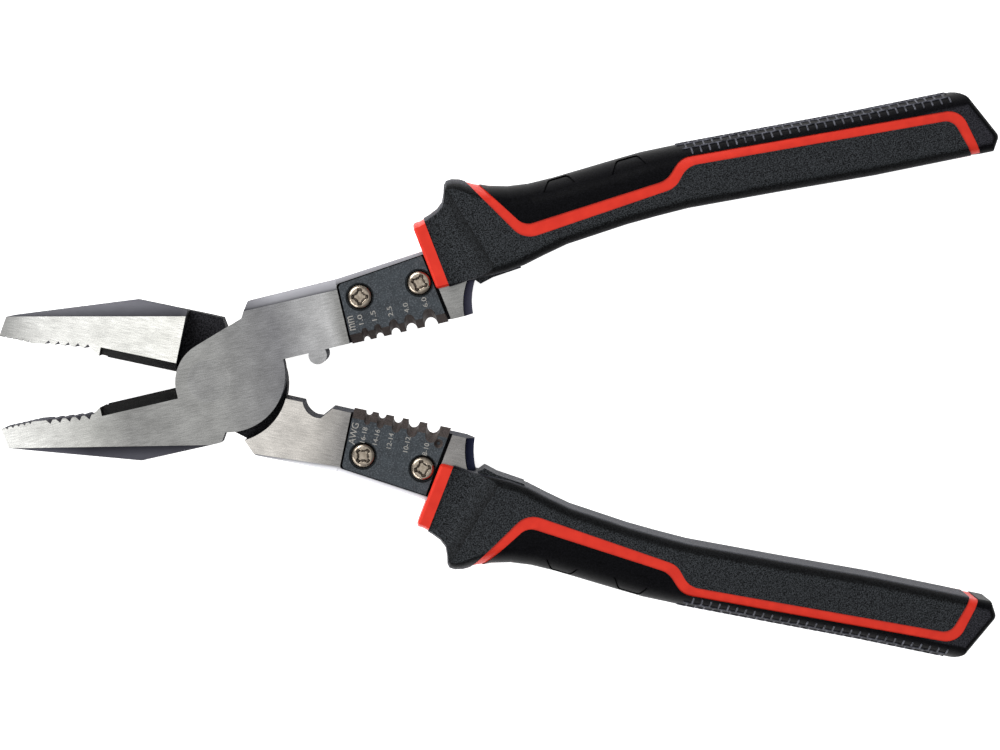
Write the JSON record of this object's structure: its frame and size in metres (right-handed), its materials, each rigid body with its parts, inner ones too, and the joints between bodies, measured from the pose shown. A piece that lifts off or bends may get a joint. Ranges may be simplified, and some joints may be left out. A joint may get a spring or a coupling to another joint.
{
  "type": "wire stripper",
  "caption": "Combination wire stripper with gripping jaws, side cutter, crimping tooth and notch, screwed-on stripping plates and two-colour moulded grips.",
  "frame": {"origin": "middle of the tool's box on the plane it lies on, with the levers open at the rest angle", "axes": "+X from the jaws to the ends of the grips, +Z out of the front face along the pivot axis, +Y towards the front lever's grip"},
  "size_m": [0.2386, 0.1364, 0.0176],
  "materials": {
    "forged_steel": "ground and lengthwise brushed forged steel with dark rough-forged hollows",
    "rivet_steel": "flush turned steel rivet head",
    "blued_steel": "blued hardened steel plate with pale engraved sizes",
    "screw_steel": "nickel-plated pan head",
    "red_plastic": "smooth orange-red moulded plastic",
    "black_plastic": "fine-grained black moulding",
    "black_rubber": "smooth soft black moulding"
  },
  "bodies": {
    "front_half": {"front_lever": "forged_steel", "pivot_rivet": "rivet_steel", "metric_plate": "blued_steel", "metric_plate_front_screw": "screw_steel", "metric_plate_rear_screw": "screw_steel", "front_grip_sleeve": "red_plastic", "front_grip_shell": "black_plastic", "front_grip_pad": "black_rubber"},
    "rear_half": {"rear_lever": "forged_steel", "gauge_plate": "blued_steel", "gauge_plate_front_screw": "screw_steel", "gauge_plate_rear_screw": "screw_steel", "rear_grip_sleeve": "red_plastic", "rear_grip_shell": "black_plastic", "rear_grip_pad": "black_rubber"}
  },
  "joints": [
    {"name": "jaw_pivot", "type": "hinge", "parent": "front_half", "child": "rear_half", "pos_m": [-0.06932, 0.00073, 0.0088], "axis": [0, 0, 1], "range_deg": [-20, 25]}
  ]
}
